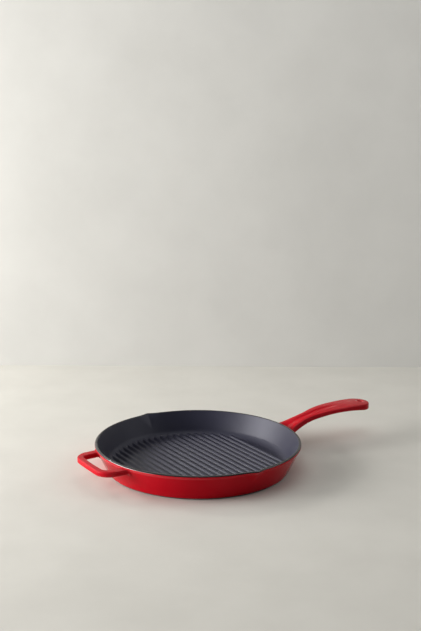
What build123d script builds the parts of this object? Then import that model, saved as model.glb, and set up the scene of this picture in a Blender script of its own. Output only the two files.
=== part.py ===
from build123d import *
from math import cos, radians, sin, sqrt
import os

os.makedirs("parts", exist_ok=True)

# A round grill pan of enamelled cast iron, in millimetres.
# The origin is the centre of the resting face, +Z is up, +X runs along the
# long handle and the two pouring lips point along +Y and -Y.
# The iron casting is made in five regions that meet face to face, and the
# enamel is made as the layer between the finished form and the iron.

# Pan body, finished sizes
rim_diameter = 300.0
pan_height = 39.5
base_diameter = 265.0
base_corner_radius = 5.0
wall_thickness = 4.3
floor_thickness = 4.5
cove_radius = 14.0
rim_band_height = 4.5
rim_band_proud = 0.8

# Enamel
coat_thickness = 0.4
rim_coat_height = 1.0
base_coat_height = 2.2

# Grill ribs
rib_count = 21
rib_pitch = 10.65
rib_height = 2.9
rib_foot_width = 6.4
rib_crest_width = 4.6
rib_crest_rise = 1.3
rib_core_crest_width = 1.2
floor_disc_diameter = 240.0

# Pouring lips
lip_reach = 6.0
lip_depth = 19.0
lip_tip_radius = 8.8
lip_flank_angle = 22.0

# Long handle, finished sizes: its root starts inside the rim, in the wall
handle_reach = 169.0
handle_root_depth = 10.0
handle_root_height = 22.4
handle_arch_height = 48.75
handle_root_half_width = 34.0
handle_waist_half_width = 12.3
handle_end_half_width = 20.0
handle_root_thickness = 11.0
handle_thickness = 6.75
handle_end_thickness = 10.6
handle_edge_radius = 2.2
hanging_hole_radius = 4.2
hanging_hole_from_tip = 13.0

# Long handle, at evenly spaced stations from root to end: rise of its middle
# line, width beyond the waist as a share of the flare or of the swell, and
# thickness beyond the thinnest as a share of the root's or of the end's
handle_rise_shares = (0.0, 0.292, 0.569, 0.782, 0.926, 0.994, 1.0, 0.977, 0.922)
handle_flare_shares = (1.0, 0.272, 0.041, 0.0, 0.0, 0.0, 0.0, 0.0, 0.0)
handle_swell_shares = (0.0, 0.0, 0.0, 0.04, 0.468, 0.78, 0.935, 0.987, 1.0)
root_thickness_shares = (1.0, 0.85, 0.45, 0.10, 0.0, 0.0, 0.0, 0.0, 0.0)
end_thickness_shares = (0.0, 0.0, 0.0, 0.0, 0.0, 0.01, 0.19, 0.56, 1.0)

# Channel in the top of the long handle: half width and depth at the same
# stations as far as it runs, as shares of the largest
channel_half_width = 11.0
channel_depth = 1.3
channel_width_shares = (1.0, 0.90, 0.56, 0.50, 0.52, 0.50, 0.45)
channel_depth_shares = (1.0, 1.0, 1.0, 1.0, 0.95, 0.70, 0.05)

# Helper handle, finished sizes: its arms start inside the rim, in the wall
helper_reach = 30.0
helper_top = 36.3
helper_thickness = 7.8
helper_root_half_width = 49.0
helper_root_depth = 16.0
helper_end_half_width = 46.0
helper_corner_radius = 20.5
helper_arm_width = 11.5
helper_bar_width = 9.0
helper_gap_corner_radius = 8.0
helper_bar_bow = 1.8
helper_edge_radius = 2.4
helper_core_bevel = 1.4

# How far cutting tools run past what they cut
overrun = 10.0

# Worked out from the sizes above
rim_radius = rim_diameter / 2
base_radius = base_diameter / 2
wall_top_radius = rim_radius - rim_band_proud
wall_top_height = pan_height - rim_band_height
wall_run = (wall_top_radius - base_radius) / wall_top_height
wall_slant = sqrt(1 + wall_run**2)


def wall_radius(height):
    """Outer radius of the finished wall at a height, without band or lips."""
    return base_radius + wall_run * height


def on_axis_plane(points):
    """Turn radius and height pairs into points of the XZ plane."""
    return [(radius, 0, height) for radius, height in points]


def outer_profile(inset):
    """Filled half section of the pan's outside, moved in by the inset."""
    slide = inset * wall_slant
    foot = (base_radius + wall_run * inset - slide, inset)
    shoulder = (wall_radius(wall_top_height + inset) - slide, wall_top_height + inset)
    section = Polyline(
        *on_axis_plane(
            [
                (0, inset),
                foot,
                shoulder,
                (rim_radius - inset, wall_top_height + inset),
                (rim_radius - inset, pan_height - inset),
                (0, pan_height - inset),
            ]
        ),
        close=True,
    )
    face = make_face(section)
    corner = face.vertices().sort_by_distance((foot[0], 0, foot[1]))[0]
    return fillet(corner, base_corner_radius - inset)


def inner_profile(inset):
    """Half section of the hollow inside the pan, grown by the inset."""
    grown = inset - wall_thickness
    floor = floor_thickness - inset
    foot_radius = wall_radius(floor) + grown * wall_slant
    brim = pan_height + overrun
    section = Polyline(
        *on_axis_plane(
            [
                (0, floor),
                (foot_radius, floor),
                (wall_radius(brim) + grown * wall_slant, brim),
                (0, brim),
            ]
        ),
        close=True,
    )
    face = make_face(section)
    corner = face.vertices().sort_by_distance((foot_radius, 0, floor))[0]
    return fillet(corner, cove_radius + inset)


def lip_prism(tip_radius, top, drop):
    """One pouring lip along +Y: a rounded V that slants down into the wall."""
    flank = radians(lip_flank_angle)
    tip_centre = rim_radius + lip_reach - lip_tip_radius
    tangent_x = tip_radius * sin(flank)
    tangent_y = tip_centre + tip_radius * cos(flank)
    root_x = tangent_x + lip_depth * cos(flank)
    root_y = tangent_y - lip_depth * sin(flank)
    outline = [
        Line((-root_x, root_y, top), (-tangent_x, tangent_y, top)),
        ThreePointArc(
            (-tangent_x, tangent_y, top),
            (0, tip_centre + tip_radius, top),
            (tangent_x, tangent_y, top),
        ),
        Line((tangent_x, tangent_y, top), (root_x, root_y, top)),
        Line((root_x, root_y, top), (0, root_y - lip_depth, top)),
        Line((0, root_y - lip_depth, top), (-root_x, root_y, top)),
    ]
    lean = lip_reach + wall_run * lip_depth
    slant = Vector(0, -lean, -lip_depth)
    return extrude(make_face(outline), amount=drop * slant.length / lip_depth, dir=slant)


def on_both_sides(solid):
    """The solid and its mirror image across the long handle's plane."""
    return solid + mirror(solid, about=Plane.XZ)


def pan_block(inset):
    """The pan's outside as a filled block, with its lips, moved in by the inset."""
    band_radius = lip_tip_radius - inset
    top = pan_height - inset
    block = revolve(outer_profile(inset), Axis.Z)
    band = lip_prism(band_radius, top, rim_band_height - 2 * inset)
    beak = lip_prism(band_radius - rim_band_proud, top, lip_depth)
    return block + on_both_sides(band) + on_both_sides(beak)


def hollow(inset):
    """The space inside the pan with the valleys of the lips, grown by the inset."""
    valley_radius = lip_tip_radius - rim_band_proud - wall_thickness + inset
    valley = lip_prism(valley_radius, pan_height, lip_depth)
    plug = extrude(valley.faces().sort_by(Axis.Z)[-1], amount=overrun, dir=(0, 0, 1))
    return revolve(inner_profile(inset), Axis.Z) + on_both_sides(valley + plug)


def rib_flanks(place, inset):
    """Foot and drafted flanks of one grill rib's section, moved in by the inset."""
    shoulder = floor_thickness + rib_height - rib_crest_rise
    foot = floor_thickness / 2
    foot_half = rib_foot_width / 2 - inset
    crest_half = rib_crest_width / 2 - inset
    return Polyline(
        (place + crest_half, 0, shoulder),
        (place + foot_half, 0, floor_thickness),
        (place + foot_half, 0, foot),
        (place - foot_half, 0, foot),
        (place - foot_half, 0, floor_thickness),
        (place - crest_half, 0, shoulder),
    )


def finished_rib(place):
    """One finished grill rib along Y, with a round crest."""
    flanks = rib_flanks(place, 0)
    crest = (place, 0, floor_thickness + rib_height)
    round_crest = ThreePointArc(flanks @ 1, crest, flanks @ 0)
    return extrude(make_face(flanks + round_crest), amount=rim_radius, both=True)


def iron_rib(place):
    """One rib of the casting along Y, with a bevelled crest under the coat."""
    flanks = rib_flanks(place, coat_thickness)
    crest = floor_thickness + rib_height - coat_thickness
    core_half = rib_core_crest_width / 2
    bevelled_crest = Polyline(
        flanks @ 1, (place - core_half, 0, crest), (place + core_half, 0, crest), flanks @ 0
    )
    return extrude(make_face(flanks + bevelled_crest), amount=rim_radius, both=True)


def ribs(one_rib, space):
    """All grill ribs, each ending where it runs into the cove."""
    first = -rib_pitch * (rib_count - 1) / 2
    return [(one_rib(first + rib_pitch * step) & space).solid() for step in range(rib_count)]


def handle_middle():
    """Middle line of the long handle: its stations from the wall to the end."""
    root = rim_radius - handle_root_depth
    end = rim_radius + handle_reach - handle_end_half_width
    step = (end - root) / (len(handle_rise_shares) - 1)
    rise = handle_arch_height - handle_root_height
    return [
        Vector(root + step * number, 0, handle_root_height + rise * rise_share)
        for number, rise_share in enumerate(handle_rise_shares)
    ]


def handle_planes():
    """Planes square to the middle line, X across the handle and Y upwards."""
    middle = handle_middle()
    before = [middle[0]] + middle[:-1]
    after = middle[1:] + [middle[-1]]
    return [
        Plane(origin=station, x_dir=(0, 1, 0), z_dir=(last - following))
        for station, last, following in zip(middle, before, after)
    ]


def handle_half_widths():
    """Half width of the long handle at each station."""
    flare = handle_root_half_width - handle_waist_half_width
    swell = handle_end_half_width - handle_waist_half_width
    return [
        handle_waist_half_width + flare * flare_share + swell * swell_share
        for flare_share, swell_share in zip(handle_flare_shares, handle_swell_shares)
    ]


def handle_thicknesses():
    """Thickness of the long handle at each station."""
    root_gain = handle_root_thickness - handle_thickness
    end_gain = handle_end_thickness - handle_thickness
    return [
        handle_thickness + root_gain * root_share + end_gain * end_share
        for root_share, end_share in zip(root_thickness_shares, end_thickness_shares)
    ]


def channel_tool(inset):
    """What the shallow rounded channel in the long handle's top takes away."""
    sections = []
    stations = zip(
        handle_planes(), handle_thicknesses(), channel_width_shares, channel_depth_shares
    )
    for plane, thickness, width_share, depth_share in stations:
        top = thickness / 2
        half_width = channel_half_width * width_share + inset
        depth = channel_depth * depth_share + inset
        brow = top + channel_depth
        outline = make_face(
            [
                ThreePointArc((-half_width, top), (0, top - depth), (half_width, top)),
                Line((half_width, top), (half_width, brow)),
                Line((half_width, brow), (-half_width, brow)),
                Line((-half_width, brow), (-half_width, top)),
            ]
        )
        sections.append(plane * outline)
    return loft(sections)


def long_handle(inset):
    """The whole long handle, moved in by the inset, running on into the wall."""
    planes = handle_planes()
    radius = handle_edge_radius - inset
    sections = [
        plane * RectangleRounded(2 * (half_width - inset), thickness - 2 * inset, radius)
        for plane, half_width, thickness in zip(
            planes, handle_half_widths(), handle_thicknesses()
        )
    ]
    reach = handle_end_half_width
    half_end = sections[-1] & planes[-1] * Pos(reach, 0) * Rectangle(2 * reach, 2 * reach)
    round_end = revolve(half_end, Axis(planes[-1].origin, planes[-1].y_dir), 180)
    hole_place = rim_radius + handle_reach - hanging_hole_from_tip
    hole = Pos(hole_place, 0, handle_arch_height) * Cylinder(
        hanging_hole_radius + inset, 2 * handle_end_half_width
    )
    return loft(sections) + round_end - channel_tool(inset) - hole


def helper_plan(inset):
    """Plan of the helper handle: a U of two arms and a slightly bowed bar."""
    root = helper_root_depth - sqrt(rim_radius**2 - helper_root_half_width**2)
    end = -(rim_radius + helper_reach - inset)
    gap_end = -(rim_radius + helper_reach - helper_bar_width + inset)
    outer_half = helper_end_half_width - inset
    outer_root = helper_root_half_width - inset
    gap_half = helper_end_half_width - helper_arm_width + inset
    gap_root = helper_root_half_width - helper_arm_width + inset
    outer = make_face(
        [
            Line((root, outer_root), (end + helper_bar_bow, outer_half)),
            ThreePointArc(
                (end + helper_bar_bow, outer_half), (end, 0), (end + helper_bar_bow, -outer_half)
            ),
            Line((end + helper_bar_bow, -outer_half), (root, -outer_root)),
            Line((root, -outer_root), (root, outer_root)),
        ]
    )
    gap = make_face(
        [
            Line((root, gap_root), (gap_end + helper_bar_bow, gap_half)),
            ThreePointArc(
                (gap_end + helper_bar_bow, gap_half),
                (gap_end, 0),
                (gap_end + helper_bar_bow, -gap_half),
            ),
            Line((gap_end + helper_bar_bow, -gap_half), (root, -gap_root)),
            Line((root, -gap_root), (root, gap_root)),
        ]
    )
    outer = fillet(outer.vertices().group_by(Axis.X)[0], helper_corner_radius - inset)
    gap = fillet(gap.vertices().group_by(Axis.X)[0], helper_gap_corner_radius + inset)
    return outer - gap


def helper_loop(inset):
    """The helper handle with square edges, moved in by the inset."""
    bottom = helper_top - helper_thickness + inset
    height = helper_thickness - 2 * inset
    return Pos(0, 0, bottom) * extrude(helper_plan(inset), amount=height)


def helper_edges(loop):
    """The helper handle's long edges, apart from those at its root."""
    flat_faces = loop.faces().filter_by(Axis.Z)
    return flat_faces.edges().filter_by(lambda edge: edge.center().X < -base_radius)


def slab(low, high):
    """A slab across the whole pan between two heights."""
    width = 2 * (rim_diameter + overrun)
    return Pos(0, 0, (low + high) / 2) * Box(width, width, high - low)


def write(node, solid):
    """Write one piece of the pan as a STEP file named after it."""
    solid.label = node
    export_step(solid, f"parts/{node}.step")


# The iron casting, one coat inside the finished form, with bevels for curves
iron_block = pan_block(coat_thickness)
iron_hollow = hollow(coat_thickness)
iron_pan = iron_block - iron_hollow
floor_core = extrude(Circle(floor_disc_diameter / 2), amount=floor_thickness)
iron_ribs = ribs(iron_rib, iron_hollow)
iron_long = long_handle(coat_thickness)
iron_loop = helper_loop(coat_thickness)
iron_helper = chamfer(helper_edges(iron_loop), helper_core_bevel)

# The finished forms, and the zones where one enamel gives way to the next
finished_block = pan_block(0)
finished_hollow = hollow(0)
finished_ribs = ribs(finished_rib, finished_hollow)
finished_loop = helper_loop(0)
finished_helper = fillet(helper_edges(finished_loop), helper_edge_radius)
rim_zone = slab(pan_height - rim_coat_height, pan_height + overrun)
base_zone = slab(-overrun, base_coat_height)
outer_coat = finished_block - iron_block
inner_coat = iron_hollow - finished_hollow - rim_zone

write("iron_floor", iron_pan & floor_core)
write("iron_wall", iron_pan - floor_core)
write("iron_ribs", Compound(children=iron_ribs))
write("iron_long_handle", iron_long - iron_block)
write("iron_helper_handle", iron_helper - iron_block)
write("interior_enamel", inner_coat + finished_ribs - iron_ribs)
write("rim_enamel", (finished_block & rim_zone) - finished_hollow - iron_pan)
write("exterior_enamel", outer_coat - rim_zone - base_zone - iron_long - iron_helper)
write("base_enamel", outer_coat & base_zone)
write("long_handle_enamel", long_handle(0) - finished_block - iron_long)
write("helper_handle_enamel", finished_helper - finished_block - iron_helper)
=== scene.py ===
import logging
import math
from dataclasses import dataclass, field
from enum import Enum
from typing import Callable

import bmesh
import bpy
import numpy as np
from mathutils import Matrix, Vector


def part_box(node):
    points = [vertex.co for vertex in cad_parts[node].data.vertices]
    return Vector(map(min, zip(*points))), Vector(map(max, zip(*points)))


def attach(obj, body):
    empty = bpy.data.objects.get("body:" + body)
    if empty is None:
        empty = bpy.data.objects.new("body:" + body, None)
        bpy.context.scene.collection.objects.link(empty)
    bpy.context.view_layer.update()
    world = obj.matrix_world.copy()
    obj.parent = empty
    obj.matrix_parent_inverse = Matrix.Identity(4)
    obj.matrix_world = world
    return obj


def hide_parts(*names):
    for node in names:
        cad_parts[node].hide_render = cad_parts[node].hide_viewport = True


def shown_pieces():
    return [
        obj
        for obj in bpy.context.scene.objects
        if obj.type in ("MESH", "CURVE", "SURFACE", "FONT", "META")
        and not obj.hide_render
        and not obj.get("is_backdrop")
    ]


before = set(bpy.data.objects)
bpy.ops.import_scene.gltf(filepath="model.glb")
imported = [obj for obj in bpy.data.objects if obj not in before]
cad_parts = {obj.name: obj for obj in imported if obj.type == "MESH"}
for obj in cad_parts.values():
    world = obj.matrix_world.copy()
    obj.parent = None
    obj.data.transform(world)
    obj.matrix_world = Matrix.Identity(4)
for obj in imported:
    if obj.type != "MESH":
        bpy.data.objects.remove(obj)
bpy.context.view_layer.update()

# An enamelled cast-iron grill pan. Lengths are in metres, in the frame of the
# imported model: the resting face is at height zero, +X runs along the long
# handle and the two pouring lips point along +Y and -Y.

LOG = logging.getLogger("grill_pan")
ROOT_BODY = "root"
EDGE_MASK = "edge_mask"
WELD_DISTANCE = 1e-6

# Radius of a rounded edge at which the edge mask is full
EDGE_MASK_RADIUS = 0.0012

# A fired coat's noise, and the spans of a noise that clouds, pits and gloss use
NOISE_ROUGHNESS = 0.55
CLOUD_DETAIL = 4.0
WAVE_DETAIL = 1.0
PEEL_DETAIL = 1.5
GRAIN_DETAIL = 3.0
CLOUD_SPAN = (0.35, 0.68)
PIT_SPAN = (0.05, 0.22)
GLOSS_SPAN = (0.3, 0.7)

# A Mix node has several sockets of one name, so its colour sockets go by number
MIX_COLOUR_INPUTS = (6, 7)
MIX_COLOUR_OUTPUT = 2

# The directions of the two pouring lips
LIP_BEARINGS = (math.pi / 2, -math.pi / 2)

Colour = tuple[float, float, float, float]
Span = tuple[float, float]
PointFunction = Callable[[np.ndarray, np.ndarray], np.ndarray]


def smooth_max(first: np.ndarray, second: np.ndarray, blend: float) -> np.ndarray:
    """Take the larger of two values, rounded over where they are close.

    Args:
        first: One set of values.
        second: The other set of values.
        blend: How close they are where the rounding starts.

    Returns:
        The rounded maximum.
    """
    near = np.maximum(blend - np.abs(first - second), 0.0) / blend
    return np.maximum(first, second) + near * near * blend / 4


def edge_drop(distance: np.ndarray, radius: float) -> np.ndarray:
    """Give how far a rounded edge has dropped at a distance from the outline.

    Args:
        distance: Distance from the outline, inwards.
        radius: Radius of the rounded edge.

    Returns:
        The drop, from the radius at the outline to nothing.
    """
    inward = np.clip(radius - distance, 0.0, radius)
    return radius - np.sqrt(radius * radius - inward * inward)


def quarter_steps(radius: float, steps: int) -> np.ndarray:
    """Give distances from an outline that step evenly round a quarter circle."""
    return radius * (1 - np.cos(np.linspace(0, math.pi / 2, steps + 1)))


def through_stations(shares: tuple[float, ...], place: np.ndarray) -> np.ndarray:
    """Draw a smooth curve through values at evenly spaced stations.

    Args:
        shares: The value at each station.
        place: Where to read the curve, in station numbers.

    Returns:
        The curve's values, held level before the first and after the last station.
    """
    values = np.array(shares)
    slopes = np.gradient(values)
    last = len(values) - 1
    place = np.clip(place, 0, last)
    left = np.minimum(place.astype(int), last - 1)
    part = place - left
    square, cube = part**2, part**3
    return (
        (2 * cube - 3 * square + 1) * values[left]
        + (cube - 2 * square + part) * slopes[left]
        + (3 * square - 2 * cube) * values[left + 1]
        + (cube - square) * slopes[left + 1]
    )


def new_object(name: str, data: bpy.types.ID) -> bpy.types.Object:
    """Make an object from its data and link it to the scene.

    Args:
        name: The object's name.
        data: Its mesh, light or camera.

    Returns:
        The new object.
    """
    made = bpy.data.objects.new(name, data)
    bpy.context.scene.collection.objects.link(made)
    return made


def weld_keys(points: np.ndarray) -> np.ndarray:
    """Give whole numbers that are the same where points coincide."""
    return np.round(points / WELD_DISTANCE).astype(np.int64)


@dataclass
class MeshDraft:
    """One piece's mesh while it is put together."""

    points: list[np.ndarray] = field(default_factory=list)
    faces: list[tuple[int, ...]] = field(default_factory=list)
    count: int = 0

    def add(self, points: np.ndarray) -> np.ndarray:
        """Add points.

        Args:
            points: The points, in an array of any shape with coordinates last.

        Returns:
            Their numbers, in the same shape.
        """
        shape = points.shape[:-1]
        numbers = self.count + np.arange(int(np.prod(shape))).reshape(shape)
        self.points.append(points.reshape(-1, 3))
        self.count += numbers.size
        return numbers

    def skin(self, grid: np.ndarray, rows_close: bool = False, columns_close: bool = False) -> None:
        """Cover a grid of point numbers with four-sided faces.

        Args:
            grid: Point numbers, in rows and columns.
            rows_close: Whether the last row joins the first.
            columns_close: Whether the last column joins the first.
        """
        if rows_close:
            grid = np.vstack([grid, grid[:1]])
        if columns_close:
            grid = np.hstack([grid, grid[:, :1]])
        corners = [grid[:-1, :-1], grid[:-1, 1:], grid[1:, 1:], grid[1:, :-1]]
        quads = np.stack(corners, axis=-1).reshape(-1, 4)
        self.faces.extend(map(tuple, quads.tolist()))

    def fan(self, centre: int, ring: np.ndarray) -> None:
        """Close a ring of point numbers with triangles to a centre point."""
        following = np.roll(ring, -1)
        self.faces.extend((centre, int(a), int(b)) for a, b in zip(ring, following))

    def zip_rings(self, inner: np.ndarray, outer: np.ndarray, points: np.ndarray) -> None:
        """Join two rings round the Z axis that have different point counts.

        Args:
            inner: Point numbers of the inner ring.
            outer: Point numbers of the outer ring.
            points: All points of the draft so far.
        """
        rings, angles = [], []
        for ring in (inner, outer):
            bearing = np.arctan2(points[ring, 1], points[ring, 0])
            order = np.argsort(bearing)
            rings.append(np.append(ring[order], ring[order[0]]).tolist())
            angles.append(np.append(bearing[order], bearing[order[0]] + 2 * math.pi))
        at = [0, 0]
        ends = [len(rings[0]) - 1, len(rings[1]) - 1]
        while at != ends:
            ahead = [
                angles[side][at[side] + 1] if at[side] < ends[side] else math.inf
                for side in (0, 1)
            ]
            side = 0 if ahead[0] <= ahead[1] else 1
            here = (rings[0][at[0]], rings[1][at[1]])
            self.faces.append((*here, rings[side][at[side] + 1]))
            at[side] += 1

    def all_points(self) -> np.ndarray:
        """Give all points of the draft in one array."""
        return np.vstack(self.points)

    def build(self, name: str, sharp_angle: float) -> bpy.types.Object:
        """Make the object, weld it, and mask its edges for the finishes.

        Args:
            name: The piece's name.
            sharp_angle: Angle in degrees past which an edge is shaded sharp.

        Returns:
            The new object, linked to the scene.
        """
        mesh = bpy.data.meshes.new(name)
        mesh.from_pydata(self.all_points().tolist(), [], self.faces)
        work = bmesh.new()
        work.from_mesh(mesh)
        bmesh.ops.remove_doubles(work, verts=work.verts, dist=WELD_DISTANCE)
        bmesh.ops.dissolve_degenerate(work, edges=work.edges, dist=WELD_DISTANCE)
        bmesh.ops.recalc_face_normals(work, faces=work.faces)
        mask_edges(work)
        open_edges = sum(1 for edge in work.edges if len(edge.link_faces) != 2)
        work.to_mesh(mesh)
        work.free()
        mesh.shade_smooth()
        mesh.set_sharp_from_angle(angle=math.radians(sharp_angle))
        LOG.info("%s: %d faces, %d open edges", name, len(mesh.polygons), open_edges)
        return new_object(name, mesh)


def mask_edges(work: bmesh.types.BMesh) -> None:
    """Write a point mask of how sharply the surface turns outwards.

    Args:
        work: The mesh to mask.
    """
    work.normal_update()
    layer = work.verts.layers.float.new(EDGE_MASK)
    for vert in work.verts:
        turns = [
            edge.calc_face_angle_signed(0.0) / max(edge.calc_length(), WELD_DISTANCE)
            for edge in vert.link_edges
            if len(edge.link_faces) == 2
        ]
        bend = max(turns, default=0.0) * EDGE_MASK_RADIUS
        vert[layer] = min(max(bend, 0.0), 1.0)


def root_in_wall(
    piece: bpy.types.Object, form: "PanForm", blend: float, top_blend: float
) -> None:
    """Swell a handle where it meets the wall and end it inside the wall.

    Args:
        piece: The handle.
        form: The pan's form.
        blend: Radius of the hollow curve between the handle and the wall.
        top_blend: The same where the handle faces up.
    """
    mesh = piece.data
    flat = np.zeros(len(mesh.vertices) * 3)
    mesh.vertices.foreach_get("co", flat)
    points = flat.reshape(-1, 3)
    normals = np.zeros_like(flat)
    mesh.vertex_normals.foreach_get("vector", normals)
    normals = normals.reshape(-1, 3)
    gap = form.gap_outside(points)
    upward = np.clip(normals[:, 2:], 0.0, 1.0) ** 2
    swell = np.stack([edge_drop(gap, blend), edge_drop(gap, top_blend)], axis=-1)
    shares = np.concatenate([1 - upward, upward], axis=-1)
    points = points + normals * np.sum(swell * shares, axis=-1, keepdims=True)
    mid_wall = form.wall_radius(points[:, 2]) - form.wall_thickness * form.wall_slant / 2
    nearest = np.sqrt(np.maximum(mid_wall**2 - points[:, 1] ** 2, 0.0))
    side = np.sign(points[:, 0])
    points[:, 0] = side * np.maximum(side * points[:, 0], nearest)
    mesh.vertices.foreach_set("co", points.ravel())
    mesh.update()


class Tree:
    """A shader node tree while it is put together."""

    def __init__(self, tree: bpy.types.NodeTree) -> None:
        """Start from an existing tree and clear it."""
        self.tree = tree
        self.tree.nodes.clear()

    def add(
        self, kind: str, values: dict[str, object] | None = None, **settings: object
    ) -> bpy.types.Node:
        """Add a node.

        Args:
            kind: The node's type name.
            values: Constant values for its inputs, by input name.
            settings: Settings of the node itself.

        Returns:
            The new node.
        """
        node = self.tree.nodes.new(kind)
        for name, value in settings.items():
            setattr(node, name, value)
        for name, value in (values or {}).items():
            node.inputs[name].default_value = value
        return node

    def join(self, source: bpy.types.NodeSocket, target: bpy.types.NodeSocket) -> None:
        """Link an output to an input."""
        self.tree.links.new(source, target)

    def feed(self, target: bpy.types.NodeSocket, term: object) -> None:
        """Give an input its value.

        Args:
            target: The input.
            term: A socket to link to it, or the number or colour that it takes.
        """
        if isinstance(term, bpy.types.NodeSocket):
            self.join(term, target)
        else:
            target.default_value = term

    def math(self, operation: str, *terms: object) -> bpy.types.NodeSocket:
        """Add a Math node.

        Args:
            operation: What it does.
            terms: Its inputs, each a number or a socket.

        Returns:
            Its result.
        """
        node = self.add("ShaderNodeMath", operation=operation)
        for target, term in zip(node.inputs, terms):
            self.feed(target, term)
        return node.outputs[0]

    def mix(self, factor: object, first: object, second: object) -> bpy.types.NodeSocket:
        """Mix two colours.

        Args:
            factor: How much of the second, a number or a socket.
            first: A colour or a socket.
            second: A colour or a socket.

        Returns:
            The mixed colour.
        """
        node = self.add("ShaderNodeMix", data_type="RGBA")
        self.feed(node.inputs["Factor"], factor)
        for place, term in zip(MIX_COLOUR_INPUTS, (first, second)):
            self.feed(node.inputs[place], term)
        return node.outputs[MIX_COLOUR_OUTPUT]

    def spread(
        self, value: bpy.types.NodeSocket, span: Span, ends: Span = (0.0, 1.0)
    ) -> bpy.types.NodeSocket:
        """Stretch a value from one span to another, and no further.

        Args:
            value: The value.
            span: The two values that become the ends.
            ends: What they become.

        Returns:
            The stretched value.
        """
        node = self.add(
            "ShaderNodeMapRange",
            {"From Min": span[0], "From Max": span[1], "To Min": ends[0], "To Max": ends[1]},
            clamp=True,
        )
        self.join(value, node.inputs["Value"])
        return node.outputs["Result"]


def start_material(
    name: str, values: dict[str, object]
) -> tuple[bpy.types.Material, Tree, bpy.types.Node]:
    """Start a material with a Principled shader.

    Args:
        name: The material's name.
        values: Constant values for the shader's inputs, by input name.

    Returns:
        The material, its tree and its shader.
    """
    material = bpy.data.materials.new(name)
    material.use_nodes = True
    tree = Tree(material.node_tree)
    output = tree.add("ShaderNodeOutputMaterial")
    shader = tree.add("ShaderNodeBsdfPrincipled", values)
    tree.join(shader.outputs["BSDF"], output.inputs["Surface"])
    return material, tree, shader


class Effect(Enum):
    """Effects that several finishes share, each one shader node group."""

    MOTTLED_TONE = "mottled_tone"
    SURFACE_RIPPLE = "surface_ripple"
    FINE_GRAIN = "fine_grain"


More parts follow.
